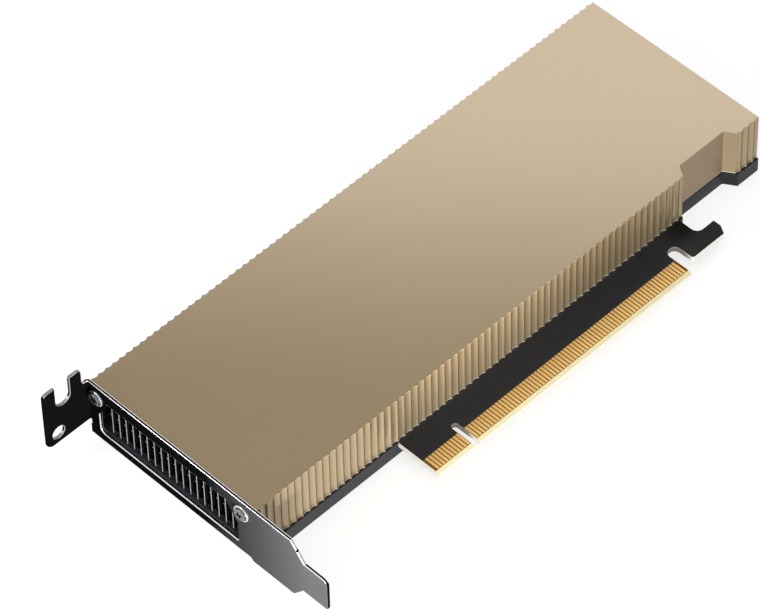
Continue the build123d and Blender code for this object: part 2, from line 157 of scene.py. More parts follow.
def cut(obj, cutter, operation="DIFFERENCE", materials="INDEX"):
    # the cutter is used up, also where it is added to the object
    useModifier(
        obj, "BOOLEAN", operation=operation, object=cutter, solver="EXACT", material_mode=materials,
    )
    bpy.data.objects.remove(cutter)


def joinAll(name, objs):
    deselectAll()
    for obj in objs:
        obj.select_set(True)
    bpy.context.view_layer.objects.active = objs[0]
    bpy.ops.object.join()
    objs[0].name = name
    return objs[0]


def copyOf(obj, name, place, turn=(0, 0, 0)):
    # a copy with its own mesh, turned, moved and applied
    pick(obj)
    bpy.ops.object.duplicate()
    made = bpy.context.object
    made.name = name
    made.rotation_euler = turn
    made.location = place
    bpy.ops.object.transform_apply(location=True, rotation=True, scale=True)
    return made


def copyOfNode(node, name):
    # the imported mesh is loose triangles: merged, and flat faces made whole again
    pick(nodes[node])
    bpy.ops.object.duplicate()
    made = bpy.context.object
    made.name = name
    bpy.ops.object.parent_clear(type="CLEAR_KEEP_TRANSFORM")
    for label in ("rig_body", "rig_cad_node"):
        del made[label]
    editAll(made)
    bpy.ops.mesh.remove_doubles(threshold=nearness["node"])
    bpy.ops.mesh.dissolve_limited(angle_limit=math.radians(flatDegrees))
    done(made)
    bpy.ops.mesh.customdata_custom_splitnormals_clear()
    return made


def smooth(obj, degrees):
    pick(obj)
    bpy.ops.object.shade_smooth_by_angle(angle=math.radians(degrees))


def tidyMesh(obj):
    editAll(obj)
    bpy.ops.mesh.remove_doubles(threshold=nearness["piece"])
    bpy.ops.mesh.normals_make_consistent(inside=False)
    done(obj)


def dress(obj, *materials):
    # the object's materials, the first of which is on all of it
    obj.data.materials.clear()
    for material in materials:
        obj.data.materials.append(material)


def paintFaces(obj, index, test):
    # the faces that pass the test take the object's material of that number
    editFaces(obj, test)
    obj.active_material_index = index
    bpy.ops.object.material_slot_assign()
    done(obj)


def finishPiece(obj, slotName, *replaced):
    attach(obj, "root")
    if replaced:
        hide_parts(*replaced)


# Materials

def srgb(red, green, blue):
    # the linear colour of three levels from 0 to 255, by the sRGB curve
    def linear(channel):
        share = channel / 255
        return share / 12.92 if share <= 0.04045 else ((share + 0.055) / 1.055) ** 2.4
    return (linear(red), linear(green), linear(blue), 1)


def level(share, low, high):
    # a number that goes from low to high with the share
    return low + (high - low) * share


class Wire:
    # one output of a node, on which sums add Math nodes

    def __init__(self, maker, socket):
        self.maker = maker
        self.socket = socket

    def other(self, output):
        # another output of the same node
        return Wire(self.maker, self.socket.node.outputs[output])

    def do(self, operation, *values):
        return self.maker.node("Math", {"operation": operation}, dict(enumerate(values)))

    def fromMiddle(self):
        # in lanes one unit wide: 0 in the middle of each lane, and 0.5 at its sides
        return abs(self.do("FRACT", self) - 0.5)

    def __add__(self, other):
        return self.do("ADD", self, other)

    def __radd__(self, other):
        return self.do("ADD", other, self)

    def __sub__(self, other):
        return self.do("SUBTRACT", self, other)

    def __rsub__(self, other):
        return self.do("SUBTRACT", other, self)

    def __mul__(self, other):
        return self.do("MULTIPLY", self, other)

    def __rmul__(self, other):
        return self.do("MULTIPLY", other, self)

    def __truediv__(self, other):
        return self.do("DIVIDE", self, other)

    def __rtruediv__(self, other):
        return self.do("DIVIDE", other, self)

    def __gt__(self, other):
        return self.do("GREATER_THAN", self, other)

    def __lt__(self, other):
        return self.do("LESS_THAN", self, other)

    def __abs__(self):
        return self.do("ABSOLUTE", self)


class NodeMaker:
    # adds nodes one by one to a material or to the world

    def __init__(self, owner):
        self.owner = owner
        owner.use_nodes = True
        self.tree = owner.node_tree

    def node(self, kind, settings=None, inputs=None, output=0):
        # a node of any type: its settings come first, then its sockets' values or links
        made = self.tree.nodes.new("ShaderNode" + kind)
        for name, value in (settings or {}).items():
            setattr(made, name, value)
        for name, value in (inputs or {}).items():
            self.feed(made.inputs[name], value)
        return Wire(self, made.outputs[output])

    def feed(self, socket, value):
        if isinstance(value, Wire):
            self.tree.links.new(value.socket, socket)
        else:
            socket.default_value = value

    def seenRays(self):
        # 1 for a ray from the camera, and for one that is reflected or passes through
        camera = self.node("LightPath", output="Is Camera Ray")
        return camera + camera.other("Is Glossy Ray") + camera.other("Is Transmission Ray")


class Finish(NodeMaker):
    # a material on the Principled shader

    def __init__(self, name):
        super().__init__(bpy.data.materials.new(name))
        self.shader = self.tree.nodes["Principled BSDF"]
        self.place = self.node("TexCoord", output="Object")

    def set(self, **values):
        names = {
            "colour": "Base Color", "metal": "Metallic", "rough": "Roughness",
            "specular": "Specular IOR Level", "normal": "Normal",
        }
        for name, value in values.items():
            self.feed(self.shader.inputs[names[name]], value)
        return self.owner

    def along(self, axis):
        # the place's X, Y or Z
        return self.node("SeparateXYZ", inputs={"Vector": self.place}, output=axis)

    def facing(self, axis):
        # the normal's X, Y or Z
        normal = self.node("NewGeometry", output="Normal")
        return self.node("SeparateXYZ", inputs={"Vector": normal}, output=axis)

    def noise(self, size):
        return self.node("TexNoise", inputs={"Vector": self.place, "Scale": 1 / size, "Detail": 3})

    def mix(self, factor, first, second):
        return self.node("Mix", {"data_type": "RGBA"}, {0: factor, 6: first, 7: second}, output=2)

    def between(self, value, low, high, kind="LINEAR"):
        # 0 before low, 1 past high, and rising from one to the other
        return self.node("MapRange", {"interpolation_type": kind}, {0: value, 1: low, 2: high})

    def bump(self, height, strength, distance):
        return self.node("Bump", inputs={"Height": height, "Strength": strength, "Distance": distance})


def coverMaterial():
    # a champagne coat on metal, with painted light and shade laid over its colour
    look = {
        "front": srgb(146, 128, 99), "rear": srgb(196, 179, 153), "topLightReach": 140 * mm,
        "driftSize": 30 * mm, "driftShare": 0.08, "upward": 0.8,
        "wallLitFront": srgb(168, 149, 118), "wallLitMiddle": srgb(192, 171, 137),
        "wallShadedRear": srgb(156, 138, 108), "middleX": (-20 * mm, 0.0), "rearShadeX": (25 * mm, 60 * mm),
        "recess": srgb(136, 118, 92), "recessShadeY": (16 * mm, 30 * mm), "nearward": -0.9,
        "ridgeShade": srgb(84, 70, 52), "ridgeFrom": 0.43, "ridgeShadeShare": 0.85,
        "flutesEndY": 14.1 * mm, "flutesStartY": 68.2 * mm,
        # the colour of the chamfers' painted highlight, and where and how strongly it lies
        "cut": srgb(250, 240, 220), "lowCutZ": 0.34 * mm, "lowHighlightShare": 0.7,
        "highCutZ": 14.32 * mm, "highHighlightShare": 0.05, "highCutRough": 0.3,
        "metal": 0.72, "rough": (0.36, 0.44), "grain": 0.25 * mm, "bump": 0.05, "bumpDepth": 0.02 * mm,
    }
    finish = Finish("coverFinish")
    x, y, z = finish.along("X"), finish.along("Y"), finish.along("Z")
    up = finish.facing("Z") > look["upward"]
    # painted light: the top is lighter towards the rear, where more light falls on it
    slope = finish.between(x + y, 0.0, look["topLightReach"], "SMOOTHSTEP")
    drift = finish.noise(look["driftSize"]) * look["driftShare"]
    top = finish.mix(slope * (1 - look["driftShare"]) + drift, look["front"], look["rear"])
    # painted light and shade: the walls take their own lit colours, lightest in the middle and darker
    # towards the rear
    wall = finish.mix(finish.between(x, *look["middleX"]), look["wallLitFront"], look["wallLitMiddle"])
    wall = finish.mix(finish.between(x, *look["rearShadeX"]), wall, look["wallShadedRear"])
    # painted shade: a dark line where the flutes meet, along the fluted parts of the walls
    lane = (x - cardPlaces["nearRidgeX"]) / cardPlaces["flutePitch"]
    fluted = (y < look["flutesEndY"]) + (y > look["flutesStartY"])
    paintedRidgeShade = (lane.fromMiddle() > look["ridgeFrom"]) * fluted * look["ridgeShadeShare"]
    wall = finish.mix(paintedRidgeShade, wall, look["ridgeShade"])
    # painted shade: the recess's smooth walls that face the near side are darker
    recessNear, recessFar = look["recessShadeY"]
    paintedRecessShade = (finish.facing("Y") < look["nearward"]) * (y > recessNear) * (y < recessFar)
    wall = finish.mix(paintedRecessShade, wall, look["recess"])
    # painted highlight: the chamfers along the top and bottom of the walls are painted bright
    topCut = z > look["highCutZ"]
    chamferHighlight = (z < look["lowCutZ"]) * look["lowHighlightShare"] + topCut * look["highHighlightShare"]
    wall = finish.mix(chamferHighlight, wall, look["cut"])
    fine = finish.noise(look["grain"])
    return finish.set(
        colour=finish.mix(up, wall, top),
        metal=look["metal"],
        rough=level(fine, *look["rough"]) + topCut * (1 - up) * look["highCutRough"],
        normal=finish.bump(fine, look["bump"], look["bumpDepth"]),
    )


def bracketMaterial():
    # a dark coat, with a painted sheen that makes its flat faces lighter towards the tongue
    look = {
        "dark": srgb(15, 15, 16), "paintedSheen": srgb(112, 110, 113), "darkY": 29.5 * mm, "paintedSheenY": -4 * mm,
        "flat": 0.5, "specular": 0.0, "rough": (0.31, 0.37),
        "grain": 0.2 * mm, "bump": 0.04, "bumpDepth": 0.02 * mm,
    }
    finish = Finish("bracketFinish")
    flat = abs(finish.facing("X")) > look["flat"]
    paintedSheen = finish.between(finish.along("Y"), look["darkY"], look["paintedSheenY"]) * flat
    fine = finish.noise(look["grain"])
    return finish.set(
        colour=finish.mix(paintedSheen, look["dark"], look["paintedSheen"]),
        specular=look["specular"],
        rough=level(fine, *look["rough"]),
        normal=finish.bump(fine, look["bump"], look["bumpDepth"]),
    )


def boardMaterial():
    # solder mask with traces under it, bare laminate between the contacts, and a pale cut edge, painted
    # dark as shade under the cover
    look = {
        "mask": srgb(53, 57, 63), "maskOther": srgb(48, 52, 58), "driftSize": 4 * mm,
        "hook": srgb(34, 34, 35), "hookX": (74 * mm, 80 * mm),
        "bare": srgb(156, 106, 50), "bevel": srgb(250, 240, 192), "bevelY": 1.05 * mm,
        "tongueY": 5.35 * mm, "tongueRearX": 73 * mm, "flat": 0.5,
        "edge": srgb(216, 213, 202), "edgeShadeFromY": 13.2 * mm,
        "trace": srgb(68, 71, 77), "tracePitch": 0.62 * mm, "traceHalf": 0.17,
        "turnY": 7.4 * mm, "turnReach": 20 * mm, "turnX": (0.0, 20 * mm),
        "patchSize": 9 * mm, "patchFrom": 0.33,
        "specular": 0.12, "bareRough": 0.62, "maskRough": 0.22,
        "bump": 0.25, "driftBump": 0.2, "bumpDepth": 0.02 * mm,
    }
    finish = Finish("boardFinish")
    x, y = finish.along("X"), finish.along("Y")
    flat = abs(finish.facing("Z")) > look["flat"]
    masked = 1 - (x < look["tongueRearX"]) * (y < look["tongueY"])
    # the traces run straight from the contacts and then turn to both sides, in patches
    past = finish.between(y, look["turnY"], look["turnY"] + look["turnReach"]) * look["turnReach"]
    side = finish.between(x, *look["turnX"]) * 2 - 1
    lane = (x + past * side) / look["tracePitch"]
    patch = finish.noise(look["patchSize"]) > look["patchFrom"]
    onHook = finish.between(x, *look["hookX"])
    trace = (lane.fromMiddle() < look["traceHalf"]) * patch * masked * (1 - onHook)
    drift = finish.noise(look["driftSize"])
    mask = finish.mix(onHook, finish.mix(drift, look["mask"], look["maskOther"]), look["hook"])
    mask = finish.mix(trace, mask, look["trace"])
    tongue = finish.mix(y < look["bevelY"], look["bare"], look["bevel"])
    # painted shade: the cut edge takes the mask's dark colour where it runs in under the cover
    edgeWithShade = finish.mix(y > look["edgeShadeFromY"], look["edge"], look["mask"])
    return finish.set(
        colour=finish.mix(flat, edgeWithShade, finish.mix(masked, tongue, mask)),
        specular=look["specular"],
        rough=level(masked * flat, look["bareRough"], look["maskRough"]),
        normal=finish.bump(trace + drift * look["driftBump"], look["bump"], look["bumpDepth"]),
    )


def trayMaterial():
    # a dark coat, with painted shade that makes it darker towards the rear
    look = {
        "front": srgb(41, 41, 43), "rear": srgb(29, 29, 31), "rearShadeX": (60 * mm, 85 * mm),
        "driftSize": 3.6 * mm, "driftShare": 0.1, "metal": 0.25, "specular": 0.2,
        "rough": (0.37, 0.47), "grain": 0.3 * mm, "bump": 0.15, "bumpDepth": 0.075 * mm,
    }
    finish = Finish("trayFinish")
    fine = finish.noise(look["grain"])
    drift = finish.noise(look["driftSize"]) * look["driftShare"]
    paintedRearShade = finish.between(finish.along("X"), *look["rearShadeX"]) * (1 - look["driftShare"])
    return finish.set(
        colour=finish.mix(paintedRearShade + drift, look["front"], look["rear"]),
        metal=look["metal"],
        specular=look["specular"],
        rough=level(fine, *look["rough"]),
        normal=finish.bump(fine, look["bump"], look["bumpDepth"]),
    )


def goldMaterial():
    look = {
        "colour": srgb(234, 196, 126), "other": srgb(216, 174, 102), "driftSize": 6 * mm,
        "metal": 0.85, "rough": (0.3, 0.4), "grain": 0.3 * mm, "bump": 0.05, "bumpDepth": 0.01 * mm,
    }
    finish = Finish("contactGold")
    fine = finish.noise(look["grain"])
    return finish.set(
        colour=finish.mix(finish.noise(look["driftSize"]), look["colour"], look["other"]),
        metal=look["metal"],
        rough=level(fine, *look["rough"]),
        normal=finish.bump(fine, look["bump"], look["bumpDepth"]),
    )


def finMaterial():
    # bright cut edges at the front, and painted shade: dark in between, as the photo shows it
    look = {
        "edge": srgb(170, 170, 172), "web": srgb(11, 11, 12), "footTop": 2.3 * mm,
        "halfThick": 0.16 * mm, "forward": -0.9, "webMetal": 0.1, "edgeMetal": 0.6, "specular": 0.1,
        "rough": (0.4, 0.5), "grain": 0.4 * mm, "bump": 0.05, "bumpDepth": 0.02 * mm,
    }
    finish = Finish("finMetal")
    # how far each place is from the nearest fin, so the feet between the fins stay dark with painted
    # shade
    lane = (finish.along("Y") - cardPlaces["farFinY"]) / cardPlaces["finPitch"] + 0.5
    apart = lane.fromMiddle() * cardPlaces["finPitch"]
    paintedFootShade = (finish.along("Z") < look["footTop"]) * (apart > look["halfThick"])
    edge = (finish.facing("X") < look["forward"]) * (1 - paintedFootShade)
    fine = finish.noise(look["grain"])
    return finish.set(
        colour=finish.mix(edge, look["web"], look["edge"]),
        metal=level(edge, look["webMetal"], look["edgeMetal"]),
        specular=look["specular"],
        rough=level(fine, *look["rough"]),
        normal=finish.bump(fine, look["bump"], look["bumpDepth"]),
    )


# colour, other colour, grain in mm, roughness, metal, bump and specular
plainLooks = {
    # the cover's inside is painted near black, as shade
    "coverInside": ((17, 16, 14), (12, 11, 10), 0.3, 0.6, 0.1, 0.15, 0.1),
    # painted highlights for the bracket's edges
    "brightEdge": ((240, 240, 240), (228, 228, 230), 0.3, 0.3, 0.7, 0.03),
    # a painted highlight broken up into patches by noise
    "wornEdge": ((12, 12, 12), (205, 205, 206), 0.12, 0.35, 0.5, 0.1),
    "brightScrew": ((232, 232, 233), (212, 212, 214), 0.3, 0.25, 0.9),
    # painted shade for the screw's dome, and for its groove and cross
    "screwFace": ((138, 138, 140), (112, 112, 115), 0.3, 0.3, 0.8, 0.05),
    "screwRecess": ((20, 20, 21), (14, 14, 15), 0.3, 0.5, 0.2, 0.15, 0.1),
    "blackScrew": ((40, 40, 42), (28, 28, 30), 0.3, 0.35, 0.6),
    "filmFinish": ((28, 28, 28), (36, 36, 36), 0.5, 0.5),
    "spreaderMetal": ((190, 150, 120), (170, 130, 100), 0.5, 0.35, 0.9),
    "plainSteel": ((150, 150, 152), (130, 130, 133), 0.4, 0.35, 0.9),
    "substrateFinish": ((42, 70, 52), (36, 60, 45), 0.5, 0.45),
    "siliconFinish": ((90, 92, 98), (80, 82, 90), 0.8, 0.15, 0.4),
    "pasteFinish": ((150, 150, 150), (130, 130, 130), 0.6, 0.6),
    "chipFinish": ((30, 30, 31), (38, 38, 39), 0.2, 0.55),
    "padFinish": ((140, 150, 165), (125, 136, 150), 0.6, 0.8),
    "inductorFinish": ((70, 70, 72), (56, 56, 58), 0.3, 0.6),
    "capacitorFinish": ((40, 40, 42), (52, 48, 40), 0.3, 0.5),
    "fuseFinish": ((210, 205, 190), (190, 186, 172), 0.3, 0.4),
    "ceramicFinish": ((160, 130, 96), (140, 112, 80), 0.2, 0.45),
}
# the drift's size and the bump's depth in grains, and how far the grain moves the roughness
plainGrain = {"drift": 12, "bumpDepth": 0.25, "roughness": 0.05}


def plainMaterial(name, colour, other, grain, rough, metal=0.0, bump=0.15, specular=0.5):
    # a colour that drifts a little, and a fine grain that also shows in the gloss
    finish = Finish(name)
    size = grain * mm
    fine = finish.noise(size)
    spread = plainGrain["roughness"]
    return finish.set(
        colour=finish.mix(finish.noise(size * plainGrain["drift"]), srgb(*colour), srgb(*other)),
        metal=metal,
        specular=specular,
        rough=level(fine, rough - spread, rough + spread),
        normal=finish.bump(fine, bump, size * plainGrain["bumpDepth"]),
    )


print("materials")
finishes = {name: plainMaterial(name, *look) for name, look in plainLooks.items()}
finishes.update(
    coverFinish=coverMaterial(), bracketFinish=bracketMaterial(), boardFinish=boardMaterial(),
    trayFinish=trayMaterial(), contactGold=goldMaterial(), finMetal=finMaterial(),
)
nodeFinishes = {
    "circuit_board": "boardFinish", "contacts_component_side": "contactGold",
    "contacts_solder_side": "contactGold", "backplate": "trayFinish", "insulating_film": "filmFinish",
    "fin_stack": "finMetal", "heat_spreader": "spreaderMetal", "spreader_screws": "plainSteel",
    "processor_substrate": "substrateFinish", "processor_die": "siliconFinish",
    "thermal_paste": "pasteFinish", "stiffener_ring": "plainSteel", "memory_chips": "chipFinish",
    "memory_pads": "padFinish", "memory_chips_underside": "chipFinish",
    "memory_pads_underside": "padFinish", "power_inductors": "inductorFinish",
    "power_stages": "chipFinish", "power_stage_pads": "padFinish",
    "bulk_capacitors": "capacitorFinish", "input_inductor": "inductorFinish", "fuse": "fuseFinish",
    "power_controller": "chipFinish", "management_chip": "chipFinish", "flash_chip": "chipFinish",
    "crystal": "plainSteel", "ceramic_capacitors": "ceramicFinish",
    "underside_capacitors": "ceramicFinish", "cover_screws": "blackScrew",
    "bracket_screws": "brightScrew",
}
for nodeName, finishName in nodeFinishes.items():
    dress(nodes[nodeName], finishes[finishName])


# Cover

coverSizes = {
    "fluteDepth": 0.45 * mm, "arcSteps": 8, "farRidgeX": 82.12 * mm,
    "wall": 1.05 * mm, "topThickness": 1.0 * mm,
    "edgeBevel": 0.12 * mm, "bevelSteps": 2, "smoothDegrees": 20,
    "recessFrontX": 83.75 * mm, "recessLength": 19.5 * mm, "recessDepth": 3.2 * mm,
    "recessSlant": 2.05 * mm, "recessCorner": 0.245 * mm, "recessSteps": 4,
    "bossHalf": 1.6 * mm, "bossCorner": 0.3 * mm, "bossSteps": 3,
    "bossBore": 1.03 * mm, "bossBoreTop": 6.5 * mm, "boreSides": 32,
    "bossPlaces": [
        (-48 * mm, 16.15 * mm), (-48 * mm, 66.15 * mm), (78.5 * mm, 16.15 * mm), (104 * mm, 66.15 * mm),
    ],
    # the two bosses for the bracket's screws: the screw's height, and its Y and the wall's
    "cornerBossZ": 11.3 * mm, "cornerBossHalf": 2.2 * mm, "cornerBossLength": 7.0 * mm,
    "cornerBore": 1.28 * mm, "cornerBoreDepth": 6.5 * mm,
    "cornerBossPlaces": [(17.5 * mm, 14.55 * mm), (65.9 * mm, 67.75 * mm)],
    # how far the cutters reach past what they cut
    "cutSpare": 1.0 * mm, "wallCutSpare": 2.0 * mm, "bossSpare": 3.0 * mm,
}


def flutedLine(name, ridgeX, edgeY, inward):
    # one flute is spun as an arc, then repeated along the card and trimmed at both ends
    # inward is 1 on the near wall and -1 on the far one
    s = coverSizes
    low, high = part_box("cover")
    pitch = cardPlaces["flutePitch"]
    half = pitch / 2
    radius = (half ** 2 + s["fluteDepth"] ** 2) / (2 * s["fluteDepth"])
    sweep = 2 * math.asin(half / radius)
    firstX = ridgeX - math.ceil((ridgeX - low.x) / pitch) * pitch
    count = math.ceil((high.x - firstX) / pitch)
    deselectAll()
    bpy.ops.mesh.primitive_plane_add(size=mm, location=(firstX, edgeY, 0))
    line = bpy.context.object
    line.name = name
    bpy.ops.object.transform_apply(location=True)
    editAll(line)
    bpy.ops.mesh.merge(type="CENTER")
    centre = (firstX + half, edgeY - inward * (radius - s["fluteDepth"]), 0)
    bpy.ops.mesh.spin(steps=s["arcSteps"], angle=inward * sweep, center=centre, axis=(0, 0, 1))
    done(line)
    repeat(line, count, (pitch, 0, 0), use_merge_vertices=True, merge_threshold=nearness["place"])
    for endX, side in ((low.x, -1), (high.x, 1)):
        editAll(line)
        bpy.ops.mesh.bisect(plane_co=(endX, 0, 0), plane_no=(side, 0, 0), clear_outer=True)
        done(line)
    return line


def recessCutter(name, nearY, depth, grow, lowZ, highZ):
    # a block whose two ends lean, as the recess in the near wall does, and longer at each by grow
    s = coverSizes
    lean = s["recessSlant"] / s["recessDepth"]
    outside = 2 * s["recessDepth"]
    front = s["recessFrontX"] - grow
    rear = s["recessFrontX"] + s["recessLength"] + grow
    block = addBox(name, (front, nearY - outside, lowZ), (rear, nearY + depth, highZ))
    for corner in block.data.vertices:
        into = corner.co.y - nearY
        corner.co.x += into * lean if corner.co.x < (front + rear) / 2 else -into * lean
    innerY = nearY + depth - nearness["place"]
    editEdges(block, lambda a, b, edge: min(a.y, b.y) > innerY and upright(a, b))
    bpy.ops.mesh.bevel(offset=s["recessCorner"], segments=s["recessSteps"])
    return done(block)


def innerCutter(low, high):
    # the hollow of the channel, less the recess's wall and the blocks that stay in it for the screws
    s = coverSizes
    spare = s["cutSpare"]
    nearY = low.y + s["fluteDepth"] + s["wall"]
    farY = high.y - s["fluteDepth"] - s["wall"]
    roof = high.z - s["topThickness"]
    hollow = addBox("hollow", (low.x - spare, nearY, low.z - spare), (high.x + spare, farY, roof))
    slantedWall = s["wall"] * math.hypot(s["recessSlant"], s["recessDepth"]) / s["recessDepth"]
    recessWall = recessCutter(
        "recessWall", low.y, s["recessDepth"] + s["wall"], slantedWall,
        low.z - s["wallCutSpare"], roof + spare,
    )
    cut(hollow, recessWall)
    leaveBosses(hollow, low, roof)
    addBores(hollow, low)
    # painted shade: the inside of the cover is near black
    dress(hollow, finishes["coverInside"])
    return hollow


def leaveBosses(hollow, low, roof):
    # the blocks for the screws stay out of the hollow
    s = coverSizes
    half, top, spare = s["bossHalf"], roof + s["cutSpare"], s["bossSpare"]
    block = addBox("boss", (-half, -half, -spare), (half, half, top))
    editEdges(block, lambda a, b, edge: upright(a, b))
    bpy.ops.mesh.bevel(offset=s["bossCorner"], segments=s["bossSteps"])
    done(block)
    for x, y in s["bossPlaces"]:
        cut(hollow, copyOf(block, "bossCopy", (x, y, 0)))
    bpy.data.objects.remove(block)
    z, half = s["cornerBossZ"], s["cornerBossHalf"]
    for y, wallY in s["cornerBossPlaces"]:
        nearY, farY = min(wallY, y - half), max(wallY, y + half)
        innerY = farY if wallY < y else nearY
        corner = addBox(
            "cornerBoss", (low.x - spare, nearY, z - half), (low.x + s["cornerBossLength"], farY, top),
        )

        def lowInner(a, b, edge):
            apart = max(abs(a.y - innerY), abs(b.y - innerY))
            return apart < nearness["place"] and max(a.z, b.z) < z

        editEdges(corner, lowInner)
        bpy.ops.mesh.bevel(offset=s["bossCorner"], segments=s["bossSteps"])
        cut(hollow, done(corner))


def addBore(hollow, place, radius, length, turn=(0, 0, 0)):
    # a cylinder primitive, which makes the hollow larger
    deselectAll()
    bpy.ops.mesh.primitive_cylinder_add(
        vertices=coverSizes["boreSides"], radius=radius, depth=length, location=place, rotation=turn,
    )
    bore = bpy.context.object
    bore.name = "bore"
    bpy.ops.object.transform_apply(location=True, rotation=True, scale=True)
    cut(hollow, bore, "UNION")


def addBores(hollow, low):
    s = coverSizes
    spare = s["bossSpare"]
    for x, y in s["bossPlaces"]:
        middle = (s["bossBoreTop"] - spare) / 2
        addBore(hollow, (x, y, middle), s["bossBore"], s["bossBoreTop"] + spare)
    for y, wallY in s["cornerBossPlaces"]:
        place = (low.x + (s["cornerBoreDepth"] - spare) / 2, y, s["cornerBossZ"])
        addBore(hollow, place, s["cornerBore"], s["cornerBoreDepth"] + spare, (0, math.pi / 2, 0))


def makeCover():
    s = coverSizes
    low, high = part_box("cover")
    nearLine = flutedLine("nearLine", cardPlaces["nearRidgeX"], low.y, 1)
    farLine = flutedLine("farLine", s["farRidgeX"], high.y, -1)
    cover = joinAll("flutedCover", [nearLine, farLine])
    # the two lines are joined at both ends and filled
    for endX in (low.x, high.x):
        editWhere(cover, "VERT", lambda vert: abs(vert.co.x - endX) < nearness["line"])
        bpy.ops.mesh.edge_face_add()
        done(cover)
    editAll(cover)
    bpy.ops.mesh.remove_doubles(threshold=nearness["line"])
    bpy.ops.mesh.select_all(action="SELECT")
    bpy.ops.mesh.edge_face_add()
    bpy.ops.transform.translate(value=(0, 0, low.z))
    bpy.ops.mesh.extrude_region_move(TRANSFORM_OT_translate={"value": (0, 0, high.z - low.z)})
    done(cover)
    tidyMesh(cover)
    spare = s["cutSpare"]
    cut(cover, recessCutter("recess", low.y, s["recessDepth"], 0.0, low.z - spare, high.z + spare))

    # small chamfers that catch the light along the top and bottom of the walls
    def rimEdge(a, b, edge):
        isLevel = abs(a.z - b.z) < nearness["piece"]
        return isLevel and edge.calc_face_angle(0) > math.radians(sharpDegrees)

    editEdges(cover, rimEdge)
    bpy.ops.mesh.bevel(offset=s["edgeBevel"], segments=s["bevelSteps"], affect="EDGES")
    done(cover)
    dress(cover, finishes["coverFinish"])
    cut(cover, innerCutter(low, high), materials="TRANSFER")
    smooth(cover, s["smoothDegrees"])
    finishPiece(cover, "cover_finish", "cover")


print("cover")
makeCover()


# Bracket: both imported parts of the sheet as one, with painted highlights on its edges

bracketSizes = {
    "edgeBevel": 0.2 * mm, "bevelSteps": 2, "smoothDegrees": 20,
    "dullReach": 0.4 * mm, "dullVentY": (18.95 * mm, 65.35 * mm),
    "dullVentZ": (0.0, 6.2 * mm, 11.35 * mm),  # the vent's lower edge, its slant's and its upper edge
    "slopeZ": (10.0 * mm, 15.2 * mm), "slopeEndY": 3 * mm, "tabPlace": (-59.5 * mm, 68.4 * mm),
    "nickX": (-59 * mm, -57 * mm), "nickPlace": (-0.15 * mm, 12.9 * mm), "nickHalf": 0.25 * mm,
    # how much of a face's normal lies along an axis
    "little": 0.2, "some": 0.3, "most": 0.6, "nearlyAll": 0.99,
}


def makeBracket():
    s = bracketSizes
    sheet = copyOfNode("bracket", "bracketSheet")
    tab = copyOfNode("bracket_tab", "bracketFold")
    cut(sheet, tab, "UNION")
    editAll(sheet)
    bpy.ops.mesh.dissolve_limited(angle_limit=math.radians(flatDegrees))
    done(sheet)
    dress(sheet, finishes["bracketFinish"], finishes["brightEdge"], finishes["wornEdge"])
    # the bevels take the painted edge highlight
    editEdges(sheet, lambda a, b, edge: edge.calc_face_angle(0) > math.radians(sharpDegrees))
    bpy.ops.mesh.bevel(offset=s["edgeBevel"], segments=s["bevelSteps"], material=1)
    done(sheet)
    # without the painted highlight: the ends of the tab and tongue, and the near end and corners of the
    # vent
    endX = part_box("bracket_tab")[0].x + s["dullReach"]
    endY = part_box("bracket")[0].y + s["dullReach"]
    nearY, farY = s["dullVentY"]
    ventLow, slantZ, ventHigh = s["dullVentZ"]

    def dull(middle, normal):
        inCorner = slantZ < middle.z < ventHigh and nearY < middle.y < farY
        corner = inCorner and normal.x > -s["nearlyAll"]
        nearEnd = ventLow < middle.z < ventHigh and nearY < middle.y < nearY + s["dullReach"]
        return middle.x < endX or middle.y < endY or corner or nearEnd

    # the sloped edge of the shoulder takes the patchy painted highlight across its width
    slopeLow, slopeHigh = s["slopeZ"]

    def slope(middle, normal):
        onSlope = slopeLow < middle.z < slopeHigh and middle.y < s["slopeEndY"]
        leans = normal.y < -s["some"] and normal.z > s["some"]
        return onSlope and leans and abs(normal.x) < s["little"]

    # the edges of the tab's slot and hole take the patchy painted highlight
    tabX, flatY = s["tabPlace"]

    def patchyOnTab(middle, normal):
        onTab = endX < middle.x < tabX and middle.y > flatY
        bevel = s["little"] < abs(normal.y) < s["nearlyAll"]
        upper = abs(normal.y) < s["little"] and normal.z > s["most"]
        return onTab and (bevel or upper)

    for index, test in ((0, dull), (2, slope), (2, patchyOnTab)):
        paintFaces(sheet, index, test)
    # a small nick in the slope
    (frontX, rearShadeX), (y, z), half = s["nickX"], s["nickPlace"], s["nickHalf"]
    nick = addBox("nick", (frontX, y - half, z - half), (rearShadeX, y + half, z + half))
    dress(nick, finishes["bracketFinish"])
    cut(sheet, nick)
    smooth(sheet, s["smoothDegrees"])
    finishPiece(sheet, "bracket_finish", "bracket", "bracket_tab")


print("bracket")
makeBracket()


# Screws

screwSizes = {
    "sides": 40, "tipShare": 0.8, "tipHeight": 0.3 * mm, "smoothDegrees": 35,
    "threadPitch": 0.45 * mm, "threadDepth": 0.12 * mm, "threadEndZ": -1.4 * mm,
    "crossArm": 1.1 * mm, "crossWidth": 0.55 * mm, "crossDepth": 0.6 * mm, "crossTurn": 20,
    "bracketShank": 1.25 * mm, "bracketReach": 5.86 * mm,
    "bracketPlaces": [(-58.01 * mm, 17.5 * mm, 11.3 * mm), (-58.01 * mm, 65.9 * mm, 11.3 * mm)],
    "domeRadius": 1.72 * mm, "groove": (1.72 * mm, 1.86 * mm), "frontZ": 0.3 * mm, "faceSpare": 0.1 * mm,
    "coverShank": 1.0 * mm, "coverReach": 9.2 * mm, "undersideZ": -4.2 * mm,
    # radius and height in mm of each ring of a head, from the shank up
    "panHead": [
        (2.3, 0.0), (2.3, 0.34), (2.18, 0.5), (1.88, 0.52), (1.8, 0.38), (1.72, 0.42), (1.66, 0.94),
        (1.5, 1.08), (0.9, 1.1),
    ],
    "flatHead": [(1.0, -0.85), (1.78, -0.08), (1.85, 0.0)],
}


